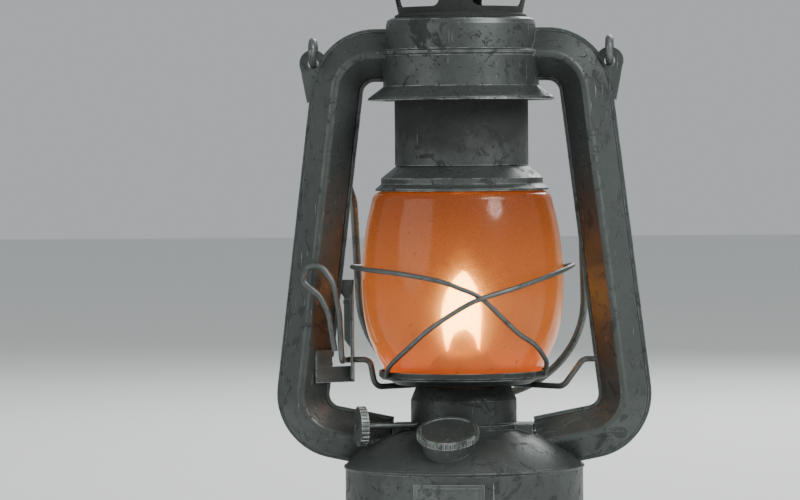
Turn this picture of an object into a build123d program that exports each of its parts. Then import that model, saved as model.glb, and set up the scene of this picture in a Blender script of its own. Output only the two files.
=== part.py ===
from build123d import *
from math import asin, cos, pi, radians, sin, sqrt
import os

# Small tubular barn lantern. Millimetres, +Z up, +X to the lantern's right side as seen
# from the front, the front faces -Y. The origin is the centre of the tank's flat underside.

os.makedirs("parts", exist_ok=True)

# ---------------------------------------------------------------- driving dimensions
sheet = 0.6                      # pressed steel sheet
running = 0.06                   # radial clearance of a shaft in its bearing
seat_gap = 0.3                   # clearance between loosely seated pieces

tank_radius = 47.6
tank_shoulder_z = 44.0
tank_top_radius = 23.0
tank_top_z = 58.4
dome_rise_radius = 37.0
dome_rise_z = 53.0
foot_bead = 0.6
foot_height = 2.4
pan_flange = 6.0

neck_tilt = 22.0                 # the filler leans forward
cap_centre = (-3.4, -37.0, 60.2)
cap_radius = 12.3
cap_thickness = 3.0
cap_grooves = 44
gasket_thickness = 1.0
neck_radius = 10.3
neck_reach = 13.0
plug_length = 6.0

plate_width = 28.0
plate_low_z = 17.0
plate_high_z = 39.5
plate_border = 1.6
plate_centre_x = -2.4

tube_half_width = 9.3
tube_half_depth = 9.7
tube_eave_depth = 2.2
tube_ridge_half = 1.5
seam_width = 1.3
seam_thickness = 0.45
tube_top_z = 207.8
tube_top_corner_x = 48.3
tube_low_corner = (66.2, 59.8)
tube_root = (30.0, 52.6)
tube_bend = 15.5
ear_x = 59.4
ear_z = 204.8
ear_radius = 5.6
ear_hole = 2.1

duct_half_width = 8.8
duct_top_z = 60.4
duct_outer_x = 28.0

drum_radius = 21.2
drum_flange_radius = 22.8
drum_flange_z = 60.5
drum_chamfer_z = 70.0
drum_top_z = 75.3
drum_top_radius = 19.0
drum_mouth_radius = 13.0

collar_radius = 13.6
collar_low_z = 54.0
burner_radius = 12.4
burner_deck_z = 78.2
burner_turn = 18.0               # burner turned about the vertical, so the knob clears the tube
cone_radius = 14.6
cone_top_z = 91.0
cone_slot = (15.6, 4.6)
wick_width = 13.0
wick_thickness = 2.0
wick_top_z = 88.6
wick_low_z = 10.0
wick_gap = 0.15
wick_tube_low_z = 50.0
wick_tube_top_z = 86.0

shaft_radius = 1.2
shaft_z = 60.4
shaft_offset = 5.2               # from the wick's middle plane
spur_radius = 4.1
spur_width = 1.6
spur_spacing = 7.0
knob_radius = 8.0
knob_thickness = 3.0
knob_reach = 44.5
knob_flutes = 28

carrier_floor_z = 76.35
carrier_floor_radius = 27.0
carrier_step_radius = 29.8
carrier_rim_radius = 33.8
carrier_rim_z = 81.8
carrier_deck_z = 79.4
carrier_hole = 15.2

globe_wall = 1.8
globe_foot_z = 80.3
globe_neck_radius = 30.4
globe_neck_z = 154.8
guard_wire = 1.0                 # radius
guard_turn = 6.0
guard_foot_angle = 65.0
guard_cross_z = 112.0
guard_side_z = 123.5
guard_foot_z = 79.6

lever_wire = 1.2                 # radius
lever_axis_z = 86.0
lever_drop = 11.0                # crank offset below its axis
lever_back_y = 22.5              # the crank passes behind the burner
lever_left_x = -37.6
lever_right_x = 48.0
lever_bearing_x = 56.5
handle_x = -47.5
handle_y = -13.0

bracket_sheet = 0.9
bracket_x = -44.6
bracket_back_y = 3.6
bracket_front_y = -3.4
bracket_low_z = 77.0
bracket_high_z = 118.0
rivet_radius = 1.5

crown_top_z = 222.4
crown_bead_z = 208.4
crown_upper_radius = 29.9
crown_lower_radius = 31.2
crown_flare_z = 194.6
crown_rim_z = 190.2
crown_rim_radius = 37.5
crown_lap = 2.7                  # how far the crown's top reaches in past the chimney

chimney_radius = 26.7
chimney_low_z = 163.6
chimney_top_z = 192.5
collar_skirt_radius = 32.4
collar_skirt_z = 158.6
collar_lip_radius = 34.6
collar_lip_z = 153.6

vent_lap = 0.8                   # vent cap's foot outside the crown's mouth
vent_radius = 27.6
vent_window_low = 4.2            # these four are above the crown's top
vent_window_high = 19.0
vent_eave = 21.0
vent_height = 29.6
vent_eave_radius = 29.6
vent_post_width = 16.0

rod_radius = 1.25
spider_width = 6.0
hub_radius = 3.2
hub_height = 5.0
eye_rise = 5.6                   # above the vent cap's roof
eye_radius = 3.4
eye_thickness = 1.6
ring_radius = 10.0
ring_wire = 1.2
ring_droop = 14.0
spring_radius = 4.2
spring_wire = 0.5
spring_turns = 9

bail_wire = 1.6                  # radius
bail_eye = 4.4
bail_lean = 24.0
bail_reach = 156.0
bail_half_width = 46.4
bail_shoulder = 14.0
bail_waist = 66.0

# ---------------------------------------------------------------- worked-out values
tank_inner = tank_radius - sheet
skirt = tube_half_width + seam_width
cap_axis = (0, -sin(radians(neck_tilt)), cos(radians(neck_tilt)))
cap_plane = Plane(origin=cap_centre, x_dir=(1, 0, 0), z_dir=cap_axis)
burner_plane = Plane.XY.rotated((0, 0, burner_turn))
drive_plane = Plane(origin=(0, 0, 0), x_dir=burner_plane.y_dir, z_dir=burner_plane.x_dir)
guard_plane = Plane.XY.rotated((0, 0, guard_turn))
spread = shaft_radius + running
bail_axis_z = ear_z + bail_eye
bail_plane = Plane(
    origin=(0, 0, bail_axis_z),
    x_dir=(1, 0, 0),
    z_dir=(0, -cos(radians(bail_lean)), -sin(radians(bail_lean))),
)
crown_mouth = chimney_radius - crown_lap
vent_base_radius = crown_mouth + vent_lap
vent_window_low_z = crown_top_z + vent_window_low
vent_window_high_z = crown_top_z + vent_window_high
vent_eave_z = crown_top_z + vent_eave
vent_top_z = crown_top_z + vent_height
eye_z = vent_top_z + eye_rise
chimney_inner = chimney_radius - sheet
sleeve_inner = chimney_radius + running
collar_slope = (chimney_low_z - collar_skirt_z) / (collar_skirt_radius - chimney_inner)
globe_top_z = (
    chimney_low_z
    - collar_slope * (globe_neck_radius - chimney_inner)
    - sheet * sqrt(1 + collar_slope**2)
    - seat_gap
)


# ---------------------------------------------------------------- shared shapes
def outline(*points):
    """Closed polygon in the XZ plane."""
    with BuildSketch(Plane.XZ) as face:
        with BuildLine():
            Polyline(*points, close=True)
        make_face()
    return face.sketch


def strip(*points, wall=sheet, side=Side.RIGHT):
    """Open outline in the XZ plane thickened to one side."""
    with BuildSketch(Plane.XZ) as face:
        with BuildLine():
            Polyline(*points)
            offset(amount=wall, side=side)
        make_face()
    return face.sketch


def tank_outline(inset):
    """Half section of the tank, down to the axis, shrunk by the inset."""
    radius = tank_radius - inset
    with BuildSketch(Plane.XZ) as face:
        with BuildLine():
            Line((0, 0), (radius, 0))
            Line((radius, 0), (radius, tank_shoulder_z - inset / 2))
            ThreePointArc(
                (radius, tank_shoulder_z - inset / 2),
                (dome_rise_radius, dome_rise_z - inset),
                (tank_top_radius, tank_top_z - inset),
            )
            Line((tank_top_radius, tank_top_z - inset), (0, tank_top_z - inset))
            Line((0, tank_top_z - inset), (0, 0))
        make_face()
    return face.sketch


def crown_points():
    """Outside of the crown from its mouth to the flared rim."""
    return (
        (crown_mouth, crown_top_z),
        (crown_upper_radius - 2.2, crown_top_z),
        (crown_upper_radius - 0.6, crown_top_z - 0.8),
        (crown_upper_radius, crown_top_z - 2.8),
        (crown_upper_radius + 0.3, crown_bead_z + 1.4),
        (crown_lower_radius + 0.5, crown_bead_z + 0.6),
        (crown_lower_radius + 0.5, crown_bead_z - 0.2),
        (crown_lower_radius - 0.2, crown_bead_z - 1.0),
        (crown_lower_radius, crown_flare_z + 0.6),
        (crown_lower_radius + 0.7, crown_flare_z),
        (crown_rim_radius - 0.5, crown_rim_z + 0.6),
        (crown_rim_radius, crown_rim_z - 0.4),
    )


def drum_points():
    """Outside of the burner drum from its foot to its mouth."""
    return (
        (drum_flange_radius, tank_top_z),
        (drum_flange_radius, drum_flange_z),
        (drum_radius, drum_flange_z + 0.4),
        (drum_radius, drum_chamfer_z),
        (drum_top_radius, drum_top_z),
        (drum_mouth_radius, drum_top_z),
    )


def tube_section():
    """Front half of the pressed tube: u points outwards, v to the front."""
    ridge = tube_half_depth - 0.5
    eave = tube_half_width - 0.5
    inner_ridge = ridge - 0.55
    inner_eave = eave - 0.5
    with BuildSketch(
        Plane(origin=(crown_mouth, 0, tube_top_z), x_dir=(0, 0, 1), z_dir=(1, 0, 0))
    ) as face:
        with BuildLine():
            Polyline((tube_half_width - sheet, 0), (skirt, 0), (skirt, seam_thickness))
            Polyline(
                (skirt, seam_thickness),
                (tube_half_width, seam_thickness),
                (eave, tube_eave_depth),
                (tube_ridge_half, ridge),
            )
            ThreePointArc((tube_ridge_half, ridge), (0, tube_half_depth), (-tube_ridge_half, ridge))
            Polyline(
                (-tube_ridge_half, ridge),
                (-eave, tube_eave_depth),
                (-tube_half_width, seam_thickness),
                (-skirt, seam_thickness),
            )
            Polyline((-skirt, seam_thickness), (-skirt, 0), (sheet - tube_half_width, 0))
            Polyline(
                (sheet - tube_half_width, 0),
                (-inner_eave, tube_eave_depth - 0.3),
                (-tube_ridge_half + 0.2, inner_ridge),
                (tube_ridge_half - 0.2, inner_ridge),
                (inner_eave, tube_eave_depth - 0.3),
                (tube_half_width - sheet, 0),
            )
        make_face()
    return face.sketch


def tube_half():
    """Right front half of a side tube, with its half of the bail ear."""
    with BuildPart() as half:
        with BuildLine(Plane.XZ):
            FilletPolyline(
                (crown_mouth, tube_top_z),
                (tube_top_corner_x, tube_top_z),
                tube_low_corner,
                tube_root,
                radius=tube_bend,
            )
        add(tube_section())
        sweep()
        with BuildSketch(Plane.XZ):
            with Locations((ear_x, ear_z)):
                Circle(ear_radius)
            with BuildLine():
                Polyline(
                    (ear_x - ear_radius, ear_z + 1.0),
                    (ear_x - 2.0, ear_z - 12.0),
                    (ear_x + 2.6, ear_z - 16.0),
                    (ear_x + ear_radius - 0.4, ear_z - 2.0),
                    close=True,
                )
            make_face()
        extrude(amount=seam_thickness)
        with BuildSketch(Plane.XZ):
            with Locations((ear_x, ear_z)):
                Circle(ear_hole)
        extrude(amount=seam_thickness, mode=Mode.SUBTRACT)
        add(outline((0, crown_top_z), *crown_points()[1:], (0, crown_rim_z - 0.4)))
        revolve(axis=Axis.Z, mode=Mode.SUBTRACT)
        add(tank_outline(0))
        revolve(axis=Axis.Z, mode=Mode.SUBTRACT)
        with BuildSketch(Plane.YZ.offset(tube_low_corner[0] - 2 * tube_half_width)):
            with Locations((0, lever_axis_z)):
                Circle(lever_wire + running)
        extrude(amount=tube_half_width + seam_width, mode=Mode.SUBTRACT)
    return half.part


def curved_plate(inner, outer, width, low, high):
    """Piece of a ring round the tank, standing in front."""
    with BuildPart() as plate:
        add(outline((inner, low), (outer, low), (outer, high), (inner, high)))
        revolve(axis=Axis.Z)
        with Locations((plate_centre_x, -outer, (low + high) / 2)):
            Box(width, outer, high - low, mode=Mode.INTERSECT)
    return plate.part


def guard_path(mirror_sign, lift):
    """Corner points of one guard wire, from its front foot to its back foot."""
    stations = (
        (guard_foot_angle, guard_foot_z, carrier_rim_radius + guard_wire + 0.1),
        (guard_foot_angle - 4, guard_foot_z + 5, 37.6),
        (34, 97.5, 43.5 + 0.3 * lift),
        (0, guard_cross_z, 43.9 + lift),
        (-30, 118.5, 44.0 + 0.3 * lift),
        (-60, 122.3, 44.2),
        (-90, guard_side_z, 44.8),
    )
    back = tuple((-180 - angle, z, r) for angle, z, r in reversed(stations[:-1]))
    points = []
    for angle, z, r in stations + back:
        turn = radians(angle * mirror_sign)
        points.append((r * sin(turn), -r * cos(turn), z))
    return points


# ---------------------------------------------------------------- tank
with BuildPart() as tank_shell:
    add(tank_outline(0))
    revolve(axis=Axis.Z)
    add(outline(
        (tank_inner, 0),
        (tank_radius + foot_bead, 0),
        (tank_radius + foot_bead, foot_height),
        (tank_inner, foot_height + foot_bead),
    ))
    revolve(axis=Axis.Z)
    with BuildSketch(Plane.XZ):
        with Locations((tank_radius - 0.2, tank_shoulder_z - 0.6)):
            Circle(foot_bead + 0.2)
    revolve(axis=Axis.Z)
    add(tank_outline(sheet))
    revolve(axis=Axis.Z, mode=Mode.SUBTRACT)
    with BuildSketch(cap_plane):
        Circle(neck_radius)
    extrude(amount=-neck_reach, mode=Mode.SUBTRACT)
    with BuildSketch(Plane.XY.offset(collar_low_z)):
        Circle(collar_radius)
    extrude(amount=tank_top_z, mode=Mode.SUBTRACT)

with BuildPart() as tank_bottom:
    add(outline(
        (0, 0),
        (tank_inner, 0),
        (tank_inner, pan_flange),
        (tank_inner - sheet, pan_flange),
        (tank_inner - sheet, sheet),
        (0, sheet),
    ))
    revolve(axis=Axis.Z)

with BuildPart() as filler_neck:
    with BuildSketch(cap_plane):
        Circle(neck_radius)
        Circle(neck_radius - sheet - 0.2, mode=Mode.SUBTRACT)
    extrude(amount=-neck_reach)
    with BuildSketch(cap_plane.offset(-cap_thickness - gasket_thickness)):
        Circle(neck_radius + 1)
    extrude(amount=2 * cap_thickness, mode=Mode.SUBTRACT)

with BuildPart() as filler_gasket:
    with BuildSketch(cap_plane.offset(-cap_thickness - gasket_thickness)):
        Circle(neck_radius + 0.4)
        Circle(neck_radius - 2.0, mode=Mode.SUBTRACT)
    extrude(amount=gasket_thickness)

with BuildPart() as filler_cap:
    with BuildSketch(cap_plane.offset(-cap_thickness)):
        Circle(cap_radius)
        with PolarLocations(cap_radius + 0.25, cap_grooves):
            Circle(0.55, mode=Mode.SUBTRACT)
    extrude(amount=cap_thickness - 0.5)
    with BuildSketch(cap_plane.offset(-0.5)):
        Circle(cap_radius - 0.5)
        Circle(cap_radius - 1.6, mode=Mode.SUBTRACT)
    extrude(amount=0.5)
    with BuildSketch(cap_plane.offset(-0.5)):
        Circle(cap_radius - 1.6)
    extrude(amount=0.15)
    with BuildSketch(cap_plane.offset(-cap_thickness - gasket_thickness - plug_length)):
        Circle(neck_radius - 2.0 - running)
        Circle(neck_radius - 3.0 - running, mode=Mode.SUBTRACT)
    extrude(amount=gasket_thickness + plug_length)

with BuildPart() as label_plate:
    add(curved_plate(tank_radius, tank_radius + 0.7, plate_width, plate_low_z, plate_high_z))
    add(
        curved_plate(
            tank_radius + 0.35,
            tank_radius + 2,
            plate_width - 2 * plate_border,
            plate_low_z + plate_border,
            plate_high_z - plate_border,
        ),
        mode=Mode.SUBTRACT,
    )

# ---------------------------------------------------------------- side tubes and air ducts
with BuildPart() as right_tube_front:
    add(tube_half())

with BuildPart() as right_tube_back:
    add(tube_half())
    mirror(about=Plane.XZ, mode=Mode.REPLACE)

with BuildPart() as left_tube_front:
    add(tube_half())
    mirror(about=Plane.YZ, mode=Mode.REPLACE)

with BuildPart() as left_tube_back:
    add(tube_half())
    mirror(about=Plane.XZ, mode=Mode.REPLACE)
    mirror(about=Plane.YZ, mode=Mode.REPLACE)

with BuildPart() as air_ducts:
    with BuildSketch(Plane.YZ.offset(-duct_outer_x)):
        with Locations((0, duct_top_z / 2)):
            Rectangle(2 * duct_half_width, duct_top_z)
            Rectangle(2 * (duct_half_width - sheet), duct_top_z - 2 * sheet, mode=Mode.SUBTRACT)
    extrude(amount=2 * duct_outer_x)
    add(tank_outline(0))
    revolve(axis=Axis.Z, mode=Mode.SUBTRACT)
    with BuildSketch(Plane.XY):
        Circle(drum_flange_radius)
    extrude(amount=drum_top_z, mode=Mode.SUBTRACT)

# ---------------------------------------------------------------- burner
with BuildPart() as burner_drum:
    add(strip(*drum_points(), side=Side.LEFT))
    revolve(axis=Axis.Z)
    with BuildSketch(drive_plane.offset(-drum_flange_radius)):
        with Locations((-shaft_offset, shaft_z)):
            Circle(spread)
    extrude(amount=drum_flange_radius - burner_radius, mode=Mode.SUBTRACT)

with BuildPart() as tank_collar:
    with BuildSketch(Plane.XY.offset(collar_low_z)):
        Circle(collar_radius)
        Circle(burner_radius, mode=Mode.SUBTRACT)
    extrude(amount=tank_top_z - collar_low_z)
    with BuildSketch(Plane.XY.offset(tank_top_z)):
        Circle(collar_radius + 1.6)
        Circle(burner_radius, mode=Mode.SUBTRACT)
    extrude(amount=sheet)

with BuildPart() as burner_body:
    with BuildSketch(Plane.XY.offset(collar_low_z)):
        Circle(burner_radius)
    extrude(amount=burner_deck_z - collar_low_z)
    with BuildSketch(Plane.XY.offset(collar_low_z + sheet)):
        Circle(burner_radius - sheet)
    extrude(amount=burner_deck_z - collar_low_z - 2 * sheet, mode=Mode.SUBTRACT)
    with BuildSketch(Plane.XY.offset(burner_deck_z - sheet)):
        Circle(cone_radius)
    extrude(amount=sheet)
    with BuildSketch(burner_plane):
        Rectangle(wick_width + 2 * (wick_gap + sheet), wick_thickness + 2 * (wick_gap + sheet))
    extrude(amount=burner_deck_z + 1, mode=Mode.SUBTRACT)
    with BuildSketch(drive_plane.offset(-burner_radius)):
        with Locations((-shaft_offset, shaft_z)):
            Circle(spread)
    extrude(amount=burner_radius, mode=Mode.SUBTRACT)

with BuildPart() as burner_cone:
    with BuildSketch(Plane.XZ):
        with BuildLine():
            Line((0, burner_deck_z), (cone_radius, burner_deck_z))
            Line((cone_radius, burner_deck_z), (cone_radius, burner_deck_z + 1.6))
            ThreePointArc((cone_radius, burner_deck_z + 1.6), (11.2, 86.6), (0, cone_top_z))
            Line((0, cone_top_z), (0, burner_deck_z))
        make_face()
    revolve(axis=Axis.Z)
    with BuildSketch(Plane.XZ):
        with BuildLine():
            Line((0, burner_deck_z), (cone_radius - sheet, burner_deck_z))
            Line((cone_radius - sheet, burner_deck_z), (cone_radius - sheet, burner_deck_z + 1.4))
            ThreePointArc(
                (cone_radius - sheet, burner_deck_z + 1.4), (10.7, 86.0), (0, cone_top_z - sheet)
            )
            Line((0, cone_top_z - sheet), (0, burner_deck_z))
        make_face()
    revolve(axis=Axis.Z, mode=Mode.SUBTRACT)
    with BuildSketch(burner_plane.offset(burner_deck_z + 1)):
        SlotOverall(*cone_slot)
    extrude(amount=cone_top_z, mode=Mode.SUBTRACT)

with BuildPart() as wick_tube:
    with BuildSketch(burner_plane.offset(wick_tube_low_z)):
        Rectangle(wick_width + 2 * (wick_gap + sheet), wick_thickness + 2 * (wick_gap + sheet))
        Rectangle(wick_width + 2 * wick_gap, wick_thickness + 2 * wick_gap, mode=Mode.SUBTRACT)
    extrude(amount=wick_tube_top_z - wick_tube_low_z)
    with BuildSketch(burner_plane.offset(shaft_z - spur_radius)):
        with Locations((-spur_spacing / 2, -shaft_offset / 2), (spur_spacing / 2, -shaft_offset / 2)):
            Rectangle(spur_width + 1, shaft_offset)
    extrude(amount=2 * spur_radius, mode=Mode.SUBTRACT)
    with BuildSketch(burner_plane.offset(shaft_z - spur_radius)):
        Rectangle(wick_width + 2 * wick_gap, wick_thickness + 2 * wick_gap)
    extrude(amount=2 * spur_radius, mode=Mode.SUBTRACT)

with BuildPart() as wick:
    with BuildSketch(burner_plane.offset(wick_low_z)):
        Rectangle(wick_width, wick_thickness)
    extrude(amount=wick_top_z - wick_low_z)

with BuildPart() as wick_shaft:
    with BuildSketch(drive_plane.offset(-knob_reach - 1)):
        with Locations((-shaft_offset, shaft_z)):
            Circle(shaft_radius)
    extrude(amount=knob_reach + 1 + spur_spacing)

with BuildPart() as spur_wheels:
    for middle in (-spur_spacing / 2, spur_spacing / 2):
        with BuildSketch(drive_plane.offset(middle - spur_width / 2)):
            with Locations((-shaft_offset, shaft_z)):
                Circle(spur_radius)
                Circle(shaft_radius, mode=Mode.SUBTRACT)
                with PolarLocations(spur_radius, 12):
                    Circle(0.6, mode=Mode.SUBTRACT)
        extrude(amount=spur_width)

with BuildPart() as wick_knob:
    with BuildSketch(drive_plane.offset(-knob_reach)):
        with Locations((-shaft_offset, shaft_z)):
            Circle(knob_radius)
            Circle(shaft_radius, mode=Mode.SUBTRACT)
            with PolarLocations(knob_radius + 0.3, knob_flutes):
                Circle(0.65, mode=Mode.SUBTRACT)
    extrude(amount=knob_thickness)

# ---------------------------------------------------------------- globe and its carrier
with BuildPart() as globe_plate:
    add(outline(
        (carrier_hole, carrier_floor_z),
        (carrier_floor_radius, carrier_floor_z),
        (carrier_step_radius, carrier_floor_z + 1.6),
        (carrier_rim_radius - 1, carrier_floor_z + 2.2),
        (carrier_rim_radius, carrier_floor_z + 3.2),
        (carrier_rim_radius, carrier_rim_z),
        (carrier_rim_radius - sheet, carrier_rim_z),
        (carrier_rim_radius - sheet, carrier_deck_z),
        (carrier_step_radius, carrier_deck_z - 0.2),
        (carrier_floor_radius - 0.4, carrier_floor_z + sheet),
        (carrier_hole, carrier_floor_z + sheet),
    ))
    revolve(axis=Axis.Z)
    add(outline(
        (carrier_floor_radius, carrier_deck_z - 0.6),
        (carrier_rim_radius - sheet, carrier_deck_z - 0.6),
        (carrier_rim_radius - sheet, globe_foot_z),
        (carrier_floor_radius, globe_foot_z),
    ))
    revolve(axis=Axis.Z)

with BuildPart() as globe:
    with BuildSketch(Plane.XZ):
        with BuildLine():
            body = Spline(
                (31.0, globe_foot_z),
                (36.0, 89.5),
                (39.9, 103.0),
                (40.3, 121.0),
                (38.4, 139.0),
                (34.3, 151.6),
            )
            shoulder = Spline(
                body @ 1,
                (globe_neck_radius + 0.6, globe_neck_z - 0.4),
                (globe_neck_radius, globe_neck_z + 1.6),
                tangents=(body % 1, (0, 1)),
            )
            Polyline(
                shoulder @ 1,
                (globe_neck_radius, globe_top_z),
                (globe_neck_radius - globe_wall, globe_top_z),
                (globe_neck_radius - globe_wall, globe_neck_z + 1.0),
            )
            inner = Spline(
                (globe_neck_radius - globe_wall, globe_neck_z + 1.0),
                (32.6, 151.0),
                (36.7, 138.4),
                (38.5, 121.0),
                (38.1, 103.6),
                (34.3, 90.2),
                (31.0 - globe_wall, globe_foot_z),
            )
            Line(inner @ 1, body @ 0)
        make_face()
    revolve(axis=Axis.Z)


def guard(mirror_sign, lift):
    """One round guard wire, standing clear of the globe."""
    points = [guard_plane.from_local_coords(point) for point in guard_path(mirror_sign, lift)]
    with BuildPart() as wire:
        with BuildLine() as route:
            FilletPolyline(*points, radius=[3, 12, 16, 16, 16, 16, 16, 16, 16, 12, 3])
        with BuildSketch(Plane(origin=route.line @ 0, z_dir=route.line % 0)):
            Circle(guard_wire)
        sweep()
    return wire.part


with BuildPart() as guard_wire_a:
    add(guard(1, 0))

with BuildPart() as guard_wire_b:
    add(guard(-1, 2.8 * guard_wire))

# ---------------------------------------------------------------- lift lever and its bracket
with BuildPart() as lift_lever:
    with BuildLine() as lever_route:
        low = lever_axis_z - lever_drop
        FilletPolyline(
            (lever_bearing_x, 0, lever_axis_z),
            (lever_right_x, 0, lever_axis_z),
            (40.0, 0, low),
            (14.0, lever_back_y, low),
            (-12.0, lever_back_y, low),
            (-35.6, 0, low),
            (lever_left_x, 0, lever_axis_z),
            (handle_x, 0, lever_axis_z),
            (handle_x, handle_y, lever_axis_z),
            (-48.3, handle_y, 104.0),
            (-50.6, handle_y, 117.5),
            (-55.5, handle_y, 124.2),
            (-61.5, handle_y, 123.8),
            (-62.8, handle_y, 117.8),
            (-56.0, handle_y, 112.0),
            (-52.6, handle_y, 105.0),
            (-50.3, handle_y, 90.0),
            radius=[4, 4, 9, 9, 4, 3, 3, 3, 20, 12, 5, 3, 3, 7, 14],
        )
    with BuildSketch(Plane(origin=lever_route.line @ 0, z_dir=lever_route.line % 0)):
        Circle(lever_wire)
    sweep()

with BuildPart() as lever_bracket:
    with BuildSketch(Plane.YZ.offset(bracket_x - bracket_sheet / 2)):
        with BuildLine():
            Polyline(
                (bracket_front_y, bracket_low_z + 2),
                (bracket_back_y, bracket_low_z),
                (bracket_back_y, bracket_high_z),
                (bracket_front_y, bracket_high_z - 6),
                close=True,
            )
        make_face()
        with Locations((0, lever_axis_z)):
            Circle(lever_wire + running, mode=Mode.SUBTRACT)
    extrude(amount=bracket_sheet)
    with BuildSketch(Plane.XZ.offset(-bracket_back_y)):
        with BuildLine():
            Polyline(
                (bracket_x, bracket_low_z + 12),
                (bracket_x - 3.6, bracket_high_z - 24),
                (bracket_x - 3.6, bracket_high_z - 7),
                (bracket_x - 5.2, bracket_high_z - 5),
                (bracket_x - 5.2, bracket_high_z),
                (bracket_x, bracket_high_z),
                close=True,
            )
        make_face()
    extrude(amount=bracket_sheet)
    with BuildSketch(Plane.XY.offset(bracket_low_z)):
        with BuildLine():
            Polyline(
                (bracket_x + 0.4, bracket_back_y),
                (bracket_x + 0.4, bracket_back_y - 1.2),
                (-58.4, -7.3),
                (-58.9, -6.9),
                close=True,
            )
        make_face()
    extrude(amount=6.4)
    with BuildSketch(Plane.XY.offset(bracket_low_z + 6.4)):
        with BuildLine():
            Polyline((-52.6, -2.0), (-52.4, -3.3), (-58.4, -7.3), (-58.9, -6.9), close=True)
        make_face()
    extrude(amount=6.6)
    add(left_tube_front.part, mode=Mode.SUBTRACT)

with BuildPart() as bracket_rivet:
    with BuildSketch(Plane.XZ.offset(-bracket_back_y + bracket_sheet)):
        with Locations((bracket_x - 2.3, bracket_high_z - 9)):
            Circle(rivet_radius)
    extrude(amount=0.8)

# ---------------------------------------------------------------- crown, flue and vent cap
with BuildPart() as crown_shell:
    add(strip(*crown_points()))
    revolve(axis=Axis.Z)
    for way in (1, -1):
        with BuildSketch(Plane.YZ.offset(way * (crown_upper_radius - 4))):
            with Locations((0, tube_top_z)):
                Polygon(
                    (tube_half_depth - 1.6, 1),
                    (2, tube_half_width - 1.2),
                    (-2, tube_half_width - 1.2),
                    (1.6 - tube_half_depth, 1),
                    (1.6 - tube_half_depth, -1),
                    (-2, 1.2 - tube_half_width),
                    (2, 1.2 - tube_half_width),
                    (tube_half_depth - 1.6, -1),
                )
        extrude(amount=way * 8, mode=Mode.SUBTRACT)

with BuildPart() as crown_sleeve:
    with BuildSketch(Plane.XY.offset(crown_rim_z + 1.5)):
        Circle(sleeve_inner + sheet)
        Circle(sleeve_inner, mode=Mode.SUBTRACT)
    extrude(amount=crown_top_z - sheet - crown_rim_z - 1.5)

with BuildPart() as chimney_tube:
    with BuildSketch(Plane.XY.offset(chimney_low_z)):
        Circle(chimney_radius)
        Circle(chimney_inner, mode=Mode.SUBTRACT)
    extrude(amount=chimney_top_z - chimney_low_z)

with BuildPart() as chimney_collar:
    add(strip(
        (chimney_inner, chimney_low_z + 4),
        (chimney_inner, chimney_low_z),
        (collar_skirt_radius, collar_skirt_z),
        (collar_skirt_radius, collar_skirt_z - 2.2),
        (collar_skirt_radius + 0.5, collar_skirt_z - 2.8),
        (collar_lip_radius, collar_lip_z + 0.9),
        (collar_lip_radius, collar_lip_z),
    ))
    revolve(axis=Axis.Z)

with BuildPart() as vent_cap:
    with BuildSketch(Plane.XZ):
        with BuildLine():
            Polyline(
                (vent_base_radius + 1.6, crown_top_z),
                (vent_base_radius + 1.6, crown_top_z + 1.0),
                (vent_base_radius, crown_top_z + 1.8),
            )
            ThreePointArc(
                (vent_base_radius, crown_top_z + 1.8),
                (vent_base_radius + 1.7, crown_top_z + 10),
                (vent_radius, vent_eave_z - 1),
            )
            Polyline((vent_radius, vent_eave_z - 1), (vent_eave_radius, vent_eave_z - 0.4))
            Polyline((vent_eave_radius, vent_eave_z - 0.4), (vent_eave_radius, vent_eave_z + 0.6))
            ThreePointArc(
                (vent_eave_radius, vent_eave_z + 0.6), (17, vent_top_z - 2.4), (4, vent_top_z)
            )
            Polyline((4, vent_top_z), (3.4, vent_top_z + 1.5), (rod_radius + 0.08, vent_top_z + 1.5))
            Polyline(
                (rod_radius + 0.08, vent_top_z + 1.5),
                (rod_radius + 0.08, vent_top_z - 0.8),
                (4, vent_top_z - 0.8),
            )
            ThreePointArc(
                (4, vent_top_z - 0.8), (17, vent_top_z - 3.2), (vent_radius - 0.6, vent_eave_z)
            )
            ThreePointArc(
                (vent_radius - 0.6, vent_eave_z),
                (vent_base_radius + 1.0, crown_top_z + 10),
                (vent_base_radius - 0.7, crown_top_z + 1.8),
            )
            Polyline(
                (vent_base_radius - 0.7, crown_top_z + 1.8),
                (vent_base_radius - 0.7, crown_top_z),
                (vent_base_radius + 1.6, crown_top_z),
            )
        make_face()
    revolve(axis=Axis.Z)
    window_half = pi / 4 - asin(vent_post_width / 2 / vent_radius)
    for corner in (45, 135, 225, 315):
        facing = Plane(
            origin=(0, 0, (vent_window_low_z + vent_window_high_z) / 2),
            x_dir=(-sin(radians(corner)), cos(radians(corner)), 0),
            z_dir=(cos(radians(corner)), sin(radians(corner)), 0),
        )
        with BuildSketch(facing):
            RectangleRounded(
                2 * vent_radius * sin(window_half), vent_window_high_z - vent_window_low_z, 3.2
            )
        extrude(amount=2 * vent_radius, mode=Mode.SUBTRACT)

with BuildPart() as chimney_spider:
    with BuildSketch(Plane.XY.offset(chimney_top_z - 1.2)):
        Rectangle(2 * chimney_radius, spider_width)
        Rectangle(spider_width, 2 * chimney_radius)
        Circle(chimney_inner, mode=Mode.INTERSECT)
    extrude(amount=1.2)
    with BuildSketch(Plane.XY.offset(chimney_top_z)):
        Circle(hub_radius)
    extrude(amount=hub_height - 1.2)
    with BuildSketch(Plane.XY.offset(chimney_top_z - 2)):
        Circle(rod_radius)
    extrude(amount=hub_height + 2, mode=Mode.SUBTRACT)

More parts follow.
